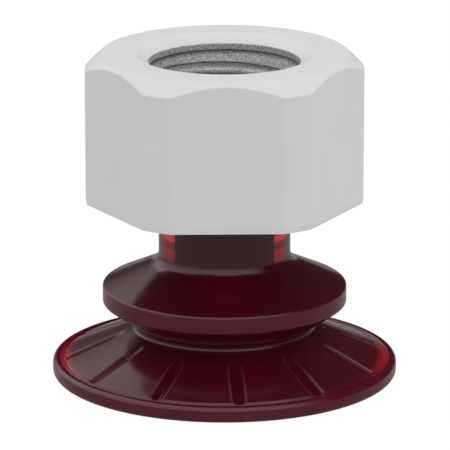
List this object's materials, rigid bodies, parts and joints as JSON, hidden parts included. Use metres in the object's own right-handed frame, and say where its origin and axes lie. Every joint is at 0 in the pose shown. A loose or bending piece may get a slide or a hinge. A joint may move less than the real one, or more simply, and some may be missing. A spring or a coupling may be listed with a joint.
{
  "type": "bellows suction cup",
  "caption": "Soft round bellows suction cup with a fluted sealing lip on a hexagonal fitting with a threaded air hole.",
  "frame": {"origin": "centre of the flat face of the sealing rim", "axes": "+Z along the cup's axis, from the lip towards the threaded hole; -Y square to one face of the hexagon"},
  "size_m": [0.0384, 0.0384, 0.0366],
  "materials": {
    "fitting_plastic": "light grey moulded plastic, smooth and matte",
    "insert_metal": "nickel-plated brass, dull grey",
    "nipple_metal": "turned, dark anodised",
    "seal_rubber": "black, matte",
    "filter_frame": "black moulded plastic",
    "filter_mesh": "stainless mesh",
    "cup_elastomer": "translucent dark red, glossy"
  },
  "bodies": {
    "fitting": {"hex_fitting_body": "fitting_plastic", "threaded_insert": "insert_metal", "barbed_nipple": "nipple_metal", "nipple_seal_ring": "seal_rubber", "filter_frame_ring": "filter_frame", "filter_mesh_disc": "filter_mesh", "cup_neck_sleeve": "cup_elastomer", "cup_upper_fold": "cup_elastomer"},
    "equator": {"cup_equator_band": "cup_elastomer", "cup_lower_fold": "cup_elastomer"},
    "waist": {"cup_waist_ring": "cup_elastomer"},
    "skirt": {"cup_inner_skirt": "cup_elastomer"},
    "lip": {"cup_outer_skirt": "cup_elastomer", "cup_sealing_rim": "cup_elastomer"}
  },
  "joints": [
    {"name": "upper_fold_stroke", "type": "slide", "parent": "fitting", "child": "equator", "axis": [0, 0, 1], "range_m": [0, 0.0028], "stiffness_N_per_m": 600, "deforming": ["cup_upper_fold"]},
    {"name": "lower_fold_stroke", "type": "slide", "parent": "equator", "child": "waist", "axis": [0, 0, 1], "range_m": [0, 0.0021], "stiffness_N_per_m": 800, "deforming": ["cup_lower_fold"]},
    {"name": "lip_tilt_x", "type": "hinge", "parent": "waist", "child": "skirt", "pos_m": [0, 0, 0.004], "axis": [1, 0, 0], "range_deg": [-4, 4], "stiffness_Nm_per_rad": 0.02, "deforming": ["cup_inner_skirt"]},
    {"name": "lip_tilt_y", "type": "hinge", "parent": "skirt", "child": "lip", "pos_m": [0, 0, 0.004], "axis": [0, 1, 0], "range_deg": [-4, 4], "stiffness_Nm_per_rad": 0.02, "deforming": ["cup_outer_skirt"]}
  ],
  "couplings": [
    {"joint": "lower_fold_stroke", "follows": "upper_fold_stroke", "ratio": 0.75}
  ]
}
